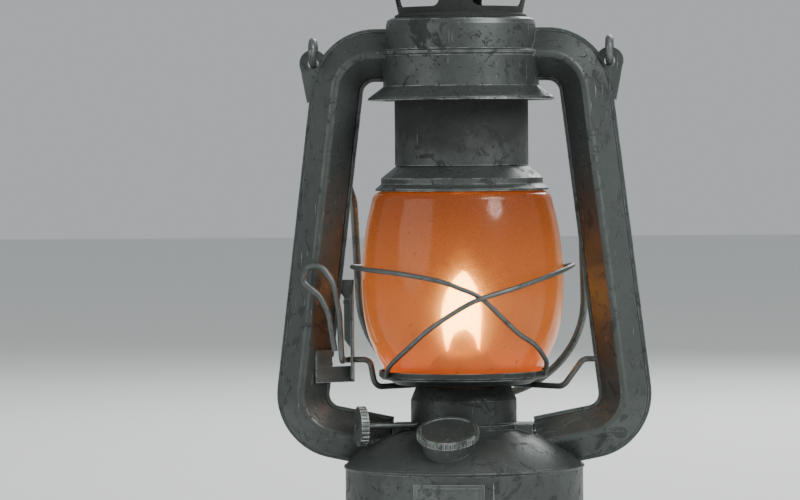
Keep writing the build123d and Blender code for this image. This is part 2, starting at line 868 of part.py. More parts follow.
with BuildPart() as lift_rod:
    with BuildSketch(Plane.XY.offset(chimney_top_z - 1.2)):
        Circle(rod_radius)
    extrude(amount=eye_z - chimney_top_z)
    with BuildSketch(Plane.YZ.offset(-eye_thickness / 2)):
        with Locations((0, eye_z)):
            Circle(eye_radius)
    extrude(amount=eye_thickness)
    with BuildSketch(Plane.YZ.offset(-eye_thickness)):
        with Locations((0, eye_z)):
            Circle(ring_wire + 0.2)
    extrude(amount=2 * eye_thickness, mode=Mode.SUBTRACT)

with BuildPart() as chimney_spring:
    spring_low = chimney_top_z + 0.3 + spring_wire
    spring_high = vent_top_z - 3.0
    spring_length = spring_high - spring_low
    with BuildLine(Plane.XY.offset(spring_low)):
        Helix(pitch=spring_length / spring_turns, height=spring_length, radius=spring_radius)
    with BuildSketch(Plane(origin=(spring_radius, 0, spring_low), z_dir=(0, 1, 0))):
        Circle(spring_wire)
    sweep(is_frenet=True)

with BuildPart() as finger_ring:
    droop = radians(ring_droop)
    ring_plane = Plane(
        origin=(0, ring_radius * cos(droop), eye_z - ring_radius * sin(droop)),
        x_dir=(1, 0, 0),
        z_dir=(0, sin(droop), cos(droop)),
    )
    with Locations(ring_plane):
        Torus(ring_radius, ring_wire)

# ---------------------------------------------------------------- bail
with BuildPart() as bail:
    with BuildLine(bail_plane):
        waist = bail_reach - bail_half_width
        FilletPolyline(
            (-ear_x, -bail_eye),
            (-ear_x, -bail_shoulder),
            (-bail_half_width, -bail_waist),
            (-bail_half_width, -waist),
            radius=16,
        )
        ThreePointArc((-bail_half_width, -waist), (0, -bail_reach), (bail_half_width, -waist))
        FilletPolyline(
            (bail_half_width, -waist),
            (bail_half_width, -bail_waist),
            (ear_x, -bail_shoulder),
            (ear_x, -bail_eye),
            radius=16,
        )
    bail_start = bail_plane.from_local_coords((-ear_x, -bail_eye))
    with BuildSketch(Plane(origin=bail_start, z_dir=-bail_plane.y_dir)):
        Circle(bail_wire)
    sweep()
    for side in (-ear_x, ear_x):
        eye_plane = Plane(origin=(side, 0, bail_axis_z), x_dir=(0, 1, 0), z_dir=(1, 0, 0))
        with Locations(eye_plane):
            Torus(bail_eye, bail_wire)

# ---------------------------------------------------------------- labels and files
pieces = {
    "tank_shell": tank_shell,
    "tank_bottom": tank_bottom,
    "filler_neck": filler_neck,
    "filler_gasket": filler_gasket,
    "filler_cap": filler_cap,
    "label_plate": label_plate,
    "right_tube_front": right_tube_front,
    "right_tube_back": right_tube_back,
    "left_tube_front": left_tube_front,
    "left_tube_back": left_tube_back,
    "air_ducts": air_ducts,
    "burner_drum": burner_drum,
    "tank_collar": tank_collar,
    "burner_body": burner_body,
    "burner_cone": burner_cone,
    "wick_tube": wick_tube,
    "wick": wick,
    "wick_shaft": wick_shaft,
    "spur_wheels": spur_wheels,
    "wick_knob": wick_knob,
    "globe_plate": globe_plate,
    "globe": globe,
    "guard_wire_a": guard_wire_a,
    "guard_wire_b": guard_wire_b,
    "lift_lever": lift_lever,
    "lever_bracket": lever_bracket,
    "bracket_rivet": bracket_rivet,
    "crown_shell": crown_shell,
    "crown_sleeve": crown_sleeve,
    "chimney_tube": chimney_tube,
    "chimney_collar": chimney_collar,
    "vent_cap": vent_cap,
    "chimney_spider": chimney_spider,
    "lift_rod": lift_rod,
    "chimney_spring": chimney_spring,
    "finger_ring": finger_ring,
    "bail": bail,
}
for label, piece in pieces.items():
    piece.part.label = label
    export_step(piece.part, f"parts/{label}.step")
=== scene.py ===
"""Looks of a small tubular barn lantern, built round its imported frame. Metres, +Z up, the front faces -Y."""

import math

import bmesh
import bpy
from bpy.props import FloatProperty, FloatVectorProperty, IntProperty, PointerProperty
from mathutils import Matrix, Vector


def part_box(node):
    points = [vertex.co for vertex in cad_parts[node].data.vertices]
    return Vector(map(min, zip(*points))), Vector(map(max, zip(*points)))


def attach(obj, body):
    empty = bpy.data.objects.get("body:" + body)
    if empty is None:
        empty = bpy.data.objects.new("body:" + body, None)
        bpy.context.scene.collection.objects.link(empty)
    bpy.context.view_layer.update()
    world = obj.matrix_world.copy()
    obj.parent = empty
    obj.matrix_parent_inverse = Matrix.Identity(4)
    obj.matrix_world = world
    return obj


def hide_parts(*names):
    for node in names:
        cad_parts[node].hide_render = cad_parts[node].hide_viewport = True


bl_info = {
    "name": "Barn Lantern",
    "version": (1, 0, 0),
    "blender": (4, 5, 0),
    "location": "3D View > Sidebar > Lantern",
    "description": "Builds the finishes, glass, flame, wires and stage of a small tubular lantern",
    "category": "Add Mesh",
}

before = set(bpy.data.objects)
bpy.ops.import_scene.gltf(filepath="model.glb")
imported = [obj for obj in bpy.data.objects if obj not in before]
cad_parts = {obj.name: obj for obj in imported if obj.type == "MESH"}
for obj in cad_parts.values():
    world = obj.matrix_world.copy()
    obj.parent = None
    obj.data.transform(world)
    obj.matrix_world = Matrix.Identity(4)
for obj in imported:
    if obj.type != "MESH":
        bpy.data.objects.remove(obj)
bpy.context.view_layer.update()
MM = 0.001


# ------------------------------------------------------------------ settings
def colour(name, description, default):
    """A colour setting of the sidebar."""
    return FloatVectorProperty(
        name=name, description=description, default=default, size=3, min=0.0, max=1.0, subtype="COLOR"
    )


def length(name, description, default):
    """A length setting of the sidebar."""
    return FloatProperty(name=name, description=description, default=default, unit="LENGTH")


def angle(name, description, degrees):
    """An angle setting of the sidebar."""
    return FloatProperty(name=name, description=description, default=math.radians(degrees), subtype="ANGLE")


def strength(name, description, default):
    """A brightness or power setting of the sidebar."""
    return FloatProperty(name=name, description=description, default=default, min=0.0, max=100.0)


class LanternFinishAndGlow(bpy.types.PropertyGroup):
    """Colours of the lantern's finishes and flame, and of the glow painted into its glass."""

    sheet: colour("Sheet", "Worn tinned sheet of tank, tubes and crown", (0.088, 0.100, 0.095))
    sheet_dark: colour("Sheet stain", "Dark patina in the sheet", (0.020, 0.024, 0.022))
    sheet_bright: colour("Bare edge", "Rubbed edges and scratches", (0.46, 0.51, 0.49))
    soot: colour("Soot", "Soot on the chimney and vent cap", (0.012, 0.012, 0.012))
    wire: colour("Wire", "Drawn wire of guards, lever and bail", (0.14, 0.155, 0.15))
    brass: colour("Brass", "Heat-stained burner", (0.42, 0.25, 0.10))
    cotton: colour("Wick", "Woven cotton of the wick", (0.55, 0.50, 0.42))
    glass: colour("Glass", "Smoky amber of the globe", (0.66, 0.28, 0.075))
    # The glass's glow is painted light: the glass emits it in place of the flame's light that it scatters.
    painted_glow: colour("Glow", "Light that the smoky glass scatters", (1.0, 0.38, 0.09))
    painted_glow_strength: strength("Glow strength", "Brightness of the lit glass", 0.36)
    flame_core: colour("Flame core", "Brightest part of the flame", (1.0, 0.93, 0.58))
    flame_edge: colour("Flame edge", "Foot and rim of the flame", (1.0, 0.42, 0.08))
    flame_strength: strength("Flame strength", "Brightness of the flame", 30.0)


class LanternSizes(bpy.types.PropertyGroup):
    """Sizes of what is modelled here, beside the frame's own."""

    glass_wall: length("Glass wall", "Thickness of the globe", 1.7 * MM)
    guard_wire: length("Guard wire", "Radius of the guard wires", 0.98 * MM)
    flame_width: length("Flame width", "Width of the flame over the wick", 16.4 * MM)
    flame_height: length("Flame height", "Height of the flame over the wick", 32.5 * MM)
    flame_arch: length("Flame arch", "Height of the hollow between the flame's two feet", 9.0 * MM)
    turns: IntProperty(name="Facets", description="Facets round the globe", default=144, min=24, max=512)


class LanternStage(bpy.types.PropertyGroup):
    """Camera, floor and lights."""

    distance: length("Camera distance", "From the lantern's axis", 1.64)
    azimuth: angle("Camera azimuth", "Round the lantern, from its front", 4.5)
    eye_height: length("Eye height", "Camera above the floor", 0.172)
    pitch: angle("Look down", "Camera pitch", 1.47)
    yaw: angle("Look left", "Camera yaw", 0.873)
    roll: angle("Roll", "Camera roll", 0.5)
    lens: FloatProperty(name="Lens", description="Focal length in millimetres", default=184.5, min=10.0)
    floor: colour("Floor", "Plain pale floor", (0.78, 0.79, 0.78))
    sky: colour("Surround", "Light from all round", (0.62, 0.65, 0.66))
    sky_strength: strength("Surround strength", "Light from all round", 0.74)
    key: strength("Key light", "Power in watts", 20.0)
    fill: strength("Fill light", "Power in watts", 6.0)
    rim: strength("Rim light", "Power in watts", 14.0)


# ------------------------------------------------------------------ node tools
def feed(tree, socket, value):
    """Links an output to an input socket, or sets the socket to a number or a colour."""
    if isinstance(value, bpy.types.NodeSocket):
        tree.links.new(value, socket)
    elif isinstance(value, (int, float)):
        socket.default_value = value
    else:
        socket.default_value = (*value[:3], 1.0)


def maths(tree, operation, first, second, clamp=False):
    """A Math node on sockets or numbers."""
    node = tree.nodes.new("ShaderNodeMath")
    node.operation = operation
    node.use_clamp = clamp
    feed(tree, node.inputs[0], first)
    feed(tree, node.inputs[1], second)
    return node.outputs[0]


def plus(tree, first, second, clamp=False):
    """The sum of two sockets or numbers."""
    return maths(tree, "ADD", first, second, clamp)


def minus(tree, first, second, clamp=False):
    """The first less the second."""
    return maths(tree, "SUBTRACT", first, second, clamp)


def times(tree, first, second, clamp=False):
    """The product of two sockets or numbers."""
    return maths(tree, "MULTIPLY", first, second, clamp)


def mix_colour(tree, factor, first, second, blend="MIX"):
    """A colour Mix node on sockets or colours."""
    node = tree.nodes.new("ShaderNodeMix")
    node.data_type = "RGBA"
    node.blend_type = blend
    for number, value in ((0, factor), (6, first), (7, second)):
        feed(tree, node.inputs[number], value)
    return node.outputs[2]


def ramp(tree, value, low, high):
    """Smooth step from 0 at low to 1 at high."""
    node = tree.nodes.new("ShaderNodeMapRange")
    node.interpolation_type = "SMOOTHSTEP"
    for number, entry in enumerate((value, low, high)):
        feed(tree, node.inputs[number], entry)
    return node.outputs[0]


def noise(tree, place, scale, detail=4.0, roughness=0.55, distortion=0.0):
    """Value of a noise texture."""
    node = tree.nodes.new("ShaderNodeTexNoise")
    for name, value in (
        ("Vector", place), ("Scale", scale), ("Detail", detail), ("Roughness", roughness), ("Distortion", distortion)
    ):
        feed(tree, node.inputs[name], value)
    return node.outputs[0]


def place_on(tree):
    """Coordinates on the object."""
    return tree.nodes.new("ShaderNodeTexCoord").outputs["Object"]


def height_of(tree, place):
    """The height among coordinates."""
    node = tree.nodes.new("ShaderNodeSeparateXYZ")
    feed(tree, node.inputs[0], place)
    return node.outputs["Z"]


def stretched(tree, place, scale):
    """Coordinates scaled by different amounts along X, Y and Z."""
    node = tree.nodes.new("ShaderNodeMapping")
    node.inputs["Scale"].default_value = scale
    feed(tree, node.inputs["Vector"], place)
    return node.outputs[0]


def new_group(name, inputs, outputs):
    """A shader node group with named sockets; returns its tree and the input and output nodes."""
    tree = bpy.data.node_groups.new(name, "ShaderNodeTree")
    kinds = {"colour": "NodeSocketColor", "value": "NodeSocketFloat"}
    for label, kind, default in inputs:
        socket = tree.interface.new_socket(name=label, in_out="INPUT", socket_type=kinds[kind])
        socket.default_value = (*default, 1.0) if kind == "colour" else default
    for label, kind in outputs:
        tree.interface.new_socket(name=label, in_out="OUTPUT", socket_type=kinds[kind])
    return tree, tree.nodes.new("NodeGroupInput"), tree.nodes.new("NodeGroupOutput")


def place_group(tree, name, **values):
    """Places a node group in a material and feeds its inputs; an underscore stands for a space."""
    node = tree.nodes.new("ShaderNodeGroup")
    node.node_tree = bpy.data.node_groups[name]
    for key, value in values.items():
        feed(tree, node.inputs[key.replace("_", " ")], value)
    return node


def tinted(tone, share):
    """A colour made darker or paler."""
    return tuple(share * channel for channel in tone)


# ------------------------------------------------------------------ shared effects
# Scales of the patterns in worn sheet, in cycles per metre.
BROAD, CHIPS, CLOUDY, BLOTCHES, PITS, FINE = 28.0, 95.0, 130.0, 230.0, 420.0, 900.0
SCRATCHES = (1500.0, 1500.0, 60.0)
RUBBED_EDGE = 0.6 * MM
DIRT = (0.012, 0.013, 0.012)
BLACK, WHITE = (0, 0, 0), (1, 1, 1)


def sheet_dirt(tree, place, given, cloudy, fine):
    """Where the sheet is pitted, blotched or chipped."""
    cells = tree.nodes.new("ShaderNodeTexVoronoi")
    feed(tree, cells.inputs["Scale"], PITS)
    feed(tree, cells.inputs["Vector"], place)
    ragged = plus(tree, cells.outputs["Distance"], times(tree, fine, 0.5))
    reach = times(tree, given.outputs["Pit Size"], 0.42)
    holes = minus(tree, 1.0, ramp(tree, ragged, times(tree, reach, 0.75), reach))
    sparse = minus(tree, 0.72, times(tree, given.outputs["Pit Amount"], 0.42))
    pits = times(tree, holes, ramp(tree, cloudy, sparse, 0.70), clamp=True)
    blotches = ramp(tree, noise(tree, place, BLOTCHES, 7.0, 0.72, 0.7), 0.57, 0.62)
    chips = ramp(tree, noise(tree, place, CHIPS, 9.0, 0.68, 0.9), 0.585, 0.615)
    marks = times(tree, maths(tree, "MAXIMUM", blotches, chips), given.outputs["Pit Amount"], clamp=True)
    return maths(tree, "MAXIMUM", pits, times(tree, marks, 0.8))


def sheet_bare(tree, place, given, broad, cloudy):
    """Where the sheet is scratched, or its edges are rubbed bright."""
    scratch = noise(tree, stretched(tree, place, SCRATCHES), 1.0, 2.0, 0.5, 0.2)
    scratch = times(tree, ramp(tree, scratch, 0.69, 0.74), ramp(tree, broad, 0.42, 0.6))
    rounded = tree.nodes.new("ShaderNodeBevel")
    rounded.samples = 4
    feed(tree, rounded.inputs["Radius"], RUBBED_EDGE)
    agree = tree.nodes.new("ShaderNodeVectorMath")
    agree.operation = "DOT_PRODUCT"
    feed(tree, agree.inputs[0], rounded.outputs[0])
    feed(tree, agree.inputs[1], tree.nodes.new("ShaderNodeNewGeometry").outputs["Normal"])
    edge = ramp(tree, minus(tree, 1.0, agree.outputs["Value"]), 0.01, 0.09)
    edge = times(tree, edge, ramp(tree, cloudy, 0.38, 0.58))
    return times(tree, maths(tree, "MAXIMUM", edge, scratch), given.outputs["Wear"], clamp=True)


def make_patina_group():
    """Mottled sheet with pits, blotches, scratches and rubbed edges."""
    tree, given, result = new_group(
        "Worn Sheet",
        (
            ("Sheet", "colour", (0.2, 0.2, 0.2)),
            ("Stain", "colour", (0.05, 0.05, 0.05)),
            ("Bare", "colour", (0.5, 0.5, 0.5)),
            ("Stain Amount", "value", 0.5),
            ("Pit Size", "value", 1.0),
            ("Pit Amount", "value", 0.5),
            ("Wear", "value", 0.5),
        ),
        (("Colour", "colour"), ("Roughness", "value"), ("Metallic", "value"), ("Height", "value")),
    )
    place = place_on(tree)
    broad = noise(tree, place, BROAD, 5.0, 0.6, 0.4)
    cloudy = noise(tree, place, CLOUDY, 6.0, 0.65, 0.3)
    fine = noise(tree, place, FINE, 5.0, 0.7)
    stain = ramp(tree, plus(tree, times(tree, broad, 0.6), times(tree, cloudy, 0.4)), 0.36, 0.66)
    stain = times(tree, stain, given.outputs["Stain Amount"], clamp=True)
    dirt = sheet_dirt(tree, place, given, cloudy, fine)
    bare = sheet_bare(tree, place, given, broad, cloudy)

    speckle = mix_colour(tree, plus(tree, 0.78, times(tree, fine, 0.44)), BLACK, WHITE)
    tone = mix_colour(tree, stain, given.outputs["Sheet"], given.outputs["Stain"])
    tone = mix_colour(tree, 1.0, tone, speckle, "MULTIPLY")
    tone = mix_colour(tree, bare, tone, given.outputs["Bare"])
    feed(tree, result.inputs["Colour"], mix_colour(tree, dirt, tone, DIRT))

    rough = plus(tree, plus(tree, 0.34, times(tree, cloudy, 0.26)), times(tree, dirt, 0.4))
    feed(tree, result.inputs["Roughness"], minus(tree, rough, times(tree, bare, 0.12), clamp=True))
    dull = times(tree, maths(tree, "MAXIMUM", dirt, stain), 0.5)
    feed(tree, result.inputs["Metallic"], minus(tree, 0.82, dull))
    height = minus(tree, times(tree, cloudy, 0.35), times(tree, dirt, 0.7))
    feed(tree, result.inputs["Height"], plus(tree, height, times(tree, fine, 0.14)))


def make_soot_group():
    """Soot that thickens between two heights."""
    tree, given, result = new_group(
        "Soot",
        (
            ("Colour", "colour", (0.2, 0.2, 0.2)),
            ("Soot", "colour", (0.01, 0.01, 0.01)),
            ("Roughness", "value", 0.5),
            ("Low", "value", 0.0),
            ("High", "value", 1.0),
            ("Amount", "value", 1.0),
        ),
        (("Colour", "colour"), ("Roughness", "value"), ("Cover", "value")),
    )
    place = place_on(tree)
    waver = times(tree, minus(tree, noise(tree, place, 90.0, 6.0, 0.7), 0.5), 30 * MM)
    level = plus(tree, height_of(tree, place), waver)
    cover = ramp(tree, level, given.outputs["Low"], given.outputs["High"])
    flaky = ramp(tree, noise(tree, place, 300.0, 8.0, 0.75, 0.5), 0.22, 0.42)
    cover = times(tree, times(tree, cover, flaky), given.outputs["Amount"], clamp=True)
    sooty = mix_colour(tree, cover, given.outputs["Colour"], given.outputs["Soot"])
    matt = times(tree, cover, minus(tree, 0.86, given.outputs["Roughness"]))
    feed(tree, result.inputs["Colour"], sooty)
    feed(tree, result.inputs["Roughness"], plus(tree, given.outputs["Roughness"], matt))
    feed(tree, result.inputs["Cover"], cover)


# ------------------------------------------------------------------ materials
def new_material(name):
    """A material with one Principled shader; returns material, tree and shader."""
    made = bpy.data.materials.new(name)
    made.use_nodes = True
    tree = made.node_tree
    return made, tree, tree.nodes["Principled BSDF"]


def bump(tree, shader, height, distance, strength=0.6):
    """Feeds a height to the shader's normal."""
    node = tree.nodes.new("ShaderNodeBump")
    feed(tree, node.inputs["Distance"], distance)
    feed(tree, node.inputs["Strength"], strength)
    feed(tree, node.inputs["Height"], height)
    feed(tree, shader.inputs["Normal"], node.outputs[0])


def sheet_material(name, sheet, stain, pit_size, pit_amount, wear, soot=None):
    """Worn sheet; soot is (low, high, amount), its heights in metres."""
    finish_and_glow = bpy.context.scene.lantern_finish
    made, tree, shader = new_material(name)
    worn = place_group(
        tree, "Worn Sheet", Sheet=sheet, Stain=finish_and_glow.sheet_dark, Bare=finish_and_glow.sheet_bright,
        Stain_Amount=stain, Pit_Size=pit_size, Pit_Amount=pit_amount, Wear=wear,
    )
    tone, rough, metal = (worn.outputs[name] for name in ("Colour", "Roughness", "Metallic"))
    if soot:
        low, high, amount = soot
        cover = place_group(
            tree, "Soot", Colour=tone, Roughness=rough, Soot=finish_and_glow.soot, Low=low, High=high, Amount=amount
        )
        tone, rough = cover.outputs["Colour"], cover.outputs["Roughness"]
        metal = times(tree, metal, minus(tree, 1.0, cover.outputs["Cover"]))
    feed(tree, shader.inputs["Base Color"], tone)
    feed(tree, shader.inputs["Roughness"], rough)
    feed(tree, shader.inputs["Metallic"], metal)
    bump(tree, shader, worn.outputs["Height"], 0.35 * MM, 0.7)
    return made


def dress(names, material):
    """Gives CAD nodes a material."""
    for name in names:
        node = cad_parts[name]
        node.data.materials.clear()
        node.data.materials.append(material)


# ------------------------------------------------------------------ mesh tools
def mesh_object(name, verts, faces, material, sharp=40.0):
    """A smooth-shaded mesh object, with edges sharper than an angle in degrees kept sharp."""
    mesh = bpy.data.meshes.new(name)
    mesh.from_pydata([tuple(v) for v in verts], [], faces)
    mesh.validate()
    shell = bmesh.new()
    shell.from_mesh(mesh)
    bmesh.ops.recalc_face_normals(shell, faces=shell.faces)
    shell.to_mesh(mesh)
    shell.free()
    mesh.polygons.foreach_set("use_smooth", [True] * len(mesh.polygons))
    mesh.set_sharp_from_angle(angle=math.radians(sharp))
    mesh.materials.append(material)
    made = bpy.data.objects.new(name, mesh)
    bpy.context.collection.objects.link(made)
    return made


def tube_faces(rings, sides):
    """Faces between rings of points that follow one another."""
    faces = []
    for base in range(0, (rings - 1) * sides, sides):
        for side in range(sides):
            after = (side + 1) % sides
            faces.append((base + side, base + after, base + sides + after, base + sides + side))
    return faces


def turned(name, outline, material, turns):
    """Revolves a closed outline of (radius, height) pairs about the vertical axis."""
    verts, faces = [], []
    count = len(outline)
    for step in range(turns):
        around = 2 * math.pi * step / turns
        verts += [(r * math.cos(around), r * math.sin(around), z) for r, z in outline]
        here, there = step * count, (step + 1) % turns * count
        for index in range(count):
            after = (index + 1) % count
            faces.append((here + index, there + index, there + after, here + after))
    return mesh_object(name, verts, faces, material, 60.0)


def smooth_line(points, steps):
    """Catmull-Rom curve through points."""
    padded = [points[0], *points, points[-1]]
    line = []
    for a, b, c, d in zip(padded, padded[1:], padded[2:], padded[3:]):
        for step in range(steps):
            t = step / steps
            line.append(tuple(
                0.5 * (2 * q + (r - p) * t + (2 * p - 5 * q + 4 * r - s) * t * t + (3 * q - p - 3 * r + s) * t ** 3)
                for p, q, r, s in zip(a, b, c, d)
            ))
    line.append(tuple(points[-1]))
    return line


def wire_object(name, points, radius, material, sides=12):
    """A round wire along a smooth route, with closed ends."""
    route = [Vector(p) for p in points]
    verts = []
    side = (route[1] - route[0]).orthogonal()
    for index, point in enumerate(route):
        ahead = (route[min(index + 1, len(route) - 1)] - route[max(index - 1, 0)]).normalized()
        side = (side - ahead * side.dot(ahead)).normalized()
        up = ahead.cross(side)
        for turn in range(sides):
            around = 2 * math.pi * turn / sides
            verts.append(point + radius * (math.cos(around) * side + math.sin(around) * up))
    last = (len(route) - 1) * sides
    ends = [tuple(range(sides))[::-1], tuple(range(last, last + sides))]
    return mesh_object(name, verts, tube_faces(len(route), sides) + ends, material)


# ------------------------------------------------------------------ operators
class LANTERN_OT_effects(bpy.types.Operator):
    """Builds the shared shader node groups"""

    bl_idname = "lantern.effects"
    bl_label = "Shared effects"

    def execute(self, context):
        make_patina_group()
        make_soot_group()
        return {"FINISHED"}


# Worn sheet: material, share of the sheet's colour, stain, pit size, pit amount, wear, and the nodes that have it.
SHEET_WORK = (
    ("Tank Sheet", 1.0, 0.7, 1.0, 0.55, 0.45, ("tank_shell", "tank_bottom", "filler_neck")),
    ("Tube Sheet", 1.0, 0.5, 1.1, 0.6, 0.5,
     ("right_tube_front", "right_tube_back", "left_tube_front", "left_tube_back", "air_ducts")),
    ("Crown Sheet", 1.0, 0.75, 1.15, 0.8, 0.8, ("crown_shell", "crown_sleeve")),
    ("Drum Sheet", 0.45, 0.8, 1.0, 0.5, 0.5, ("burner_drum", "globe_plate")),
    ("Strap", 1.5, 0.5, 0.9, 0.4, 0.8, ("lever_bracket", "bracket_rivet")),
    ("Label Plate", 1.5, 0.6, 0.9, 0.5, 0.35, ("label_plate",)),
)


class LANTERN_OT_sheet_work(bpy.types.Operator):
    """Finishes the tank, tubes, ducts, crown, drum, bracket and label plate"""

    bl_idname = "lantern.sheet_work"
    bl_label = "Sheet work"

    def execute(self, context):
        sheet = context.scene.lantern_finish.sheet
        for name, share, stain, pit_size, pit_amount, wear, nodes in SHEET_WORK:
            dress(nodes, sheet_material(name, tinted(sheet, share), stain, pit_size, pit_amount, wear))
        return {"FINISHED"}


class LANTERN_OT_chimney(bpy.types.Operator):
    """Finishes the chimney, its collar and the vent cap with soot"""

    bl_idname = "lantern.chimney"
    bl_label = "Chimney"

    def execute(self, context):
        sheet = context.scene.lantern_finish.sheet
        low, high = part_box("chimney_collar")
        band = (low.z + 8 * MM, high.z + 12 * MM, 0.98)
        sooty = sheet_material("Sooty Sheet", sheet, 0.8, 1.0, 0.8, 0.7, band)
        dress(("chimney_tube", "chimney_collar", "chimney_spider"), sooty)
        all_over = (0.0, 10 * MM, 0.9)
        dress(("vent_cap",), sheet_material("Vent Sheet", sheet, 0.9, 1.0, 0.8, 0.5, all_over))
        return {"FINISHED"}


class LANTERN_OT_filler(bpy.types.Operator):
    """Finishes the filler cap, its washer and the wick knob"""

    bl_idname = "lantern.filler"
    bl_label = "Filler cap and knob"

    def execute(self, context):
        sheet = tinted(context.scene.lantern_finish.sheet, 1.15)
        dress(("filler_cap", "wick_knob"), sheet_material("Knurled Cap", sheet, 0.5, 1.0, 0.7, 1.0))
        made, tree, shader = new_material("Washer")
        grain = noise(tree, place_on(tree), 1400.0)
        feed(tree, shader.inputs["Base Color"], mix_colour(tree, grain, (0.03, 0.027, 0.022), (0.10, 0.085, 0.06)))
        feed(tree, shader.inputs["Roughness"], 0.7)
        bump(tree, shader, grain, 0.1 * MM)
        dress(("filler_gasket",), made)
        return {"FINISHED"}


class LANTERN_OT_burner(bpy.types.Operator):
    """Finishes the brass burner"""

    bl_idname = "lantern.burner"
    bl_label = "Burner"

    def execute(self, context):
        low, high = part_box("burner_cone")
        made, tree, shader = new_material("Stained Brass")
        worn = place_group(
            tree, "Worn Sheet", Sheet=context.scene.lantern_finish.brass, Stain=(0.10, 0.05, 0.02),
            Bare=(0.85, 0.62, 0.30), Stain_Amount=0.6, Pit_Size=0.8, Pit_Amount=0.3, Wear=0.6,
        )
        cover = place_group(
            tree, "Soot", Colour=worn.outputs["Colour"], Roughness=worn.outputs["Roughness"],
            Soot=(0.02, 0.015, 0.01), Low=low.z + 4 * MM, High=high.z + 2 * MM, Amount=0.7,
        )
        feed(tree, shader.inputs["Base Color"], cover.outputs["Colour"])
        feed(tree, shader.inputs["Roughness"], cover.outputs["Roughness"])
        feed(tree, shader.inputs["Metallic"], worn.outputs["Metallic"])
        bump(tree, shader, worn.outputs["Height"], 0.2 * MM)
        dress(("burner_cone", "burner_body", "wick_tube", "tank_collar", "spur_wheels"), made)
        return {"FINISHED"}


class LANTERN_OT_wires(bpy.types.Operator):
    """Finishes the lever, bail, ring, rod, spring and shaft"""

    bl_idname = "lantern.wires"
    bl_label = "Wires"

    def execute(self, context):
        wire = sheet_material("Drawn Wire", context.scene.lantern_finish.wire, 0.5, 0.7, 0.5, 0.5)
        dress(("lift_lever", "bail", "finger_ring", "lift_rod", "chimney_spring", "wick_shaft"), wire)
        return {"FINISHED"}


# Front half of each guard wire, from its side hairpin down to its foot: degrees from the front towards the
# foot, then millimetres under the hairpin and millimetres outside the globe's belly.
GUARD_FRONTS = {
    "guard_wire_a": (
        (-90, 0.0, 3.6), (-66, 0.6, 2.2), (-38, 1.9, 1.7), (-15, 4.6, 1.5), (-4, 7.4, 1.5), (9, 12.0, 1.4),
        (29, 25.0, 0.8), (43, 30.5, -0.2), (58, 36.6, -2.9), (65, 39.6, -4.6), (67, 43.4, -5.55),
    ),
    "guard_wire_b": (
        (-90, 0.0, 3.6), (-68, 1.5, 2.4), (-47, 4.1, 2.4), (-27, 7.7, 3.0), (-9, 11.4, 3.6), (1, 14.8, 3.0),
        (19, 23.2, 1.3), (35, 31.5, -0.9), (50, 37.5, -3.2), (59, 40.7, -4.9), (63, 43.4, -5.55),
    ),
}
# The whole cage stands turned a little about the lantern's axis.
GUARD_TURN = Matrix.Rotation(math.radians(6.0), 3, "Z")


def guard_route(node, sign):
    """Route of one guard wire: foot, front crossing, hairpin at the side, back crossing, foot."""
    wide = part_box("globe")[1].x
    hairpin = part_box(node)[1].z - 1.0 * MM
    front = [(degrees, hairpin - drop * MM, wide + clear * MM) for degrees, drop, clear in GUARD_FRONTS[node]]
    keys = front[::-1] + [(-180 - degrees, z, r) for degrees, z, r in front[1:]]
    points = []
    for degrees, z, r in keys:
        around = sign * math.radians(degrees)
        points.append(GUARD_TURN @ Vector((r * math.sin(around), -r * math.cos(around), z)))
    return points


class LANTERN_OT_guards(bpy.types.Operator):
    """Bends the two guard wires round the globe"""

    bl_idname = "lantern.guards"
    bl_label = "Guard wires"

    def execute(self, context):
        radius = context.scene.lantern_sizes.guard_wire
        wire = bpy.data.materials["Drawn Wire"]
        for name, node, sign in (("guard_left", "guard_wire_a", 1), ("guard_right", "guard_wire_b", -1)):
            made = wire_object(name, smooth_line(guard_route(node, sign), 8), radius, wire)
            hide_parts(node)
            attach(made, "globe_carrier")
        return {"FINISHED"}


# The globe's outside from its ground foot over the belly and the pressed shoulder to the neck: millimetres inside
# the belly, then millimetres above the foot. The mouth, at the top, is inside the belly by GLOBE_MOUTH.
GLOBE_PROFILE = (
    (9.4, 0.0), (8.6, 2.2), (5.0, 9.4), (2.5, 15.6), (0.75, 24.0), (0.0, 37.0), (0.6, 48.0), (2.0, 59.0),
    (4.1, 68.4), (4.7, 70.6), (5.9, 72.2), (7.8, 72.9), (9.3, 73.8), (10.05, 75.6),
)
GLOBE_MOUTH = 10.15 * MM
# How far the new globe stays inside the old one's box, and how high above its foot the glow painted into the glass
# is centred.
GLOBE_MARGIN = 0.1 * MM
PAINTED_GLOW_HEIGHT = 22 * MM


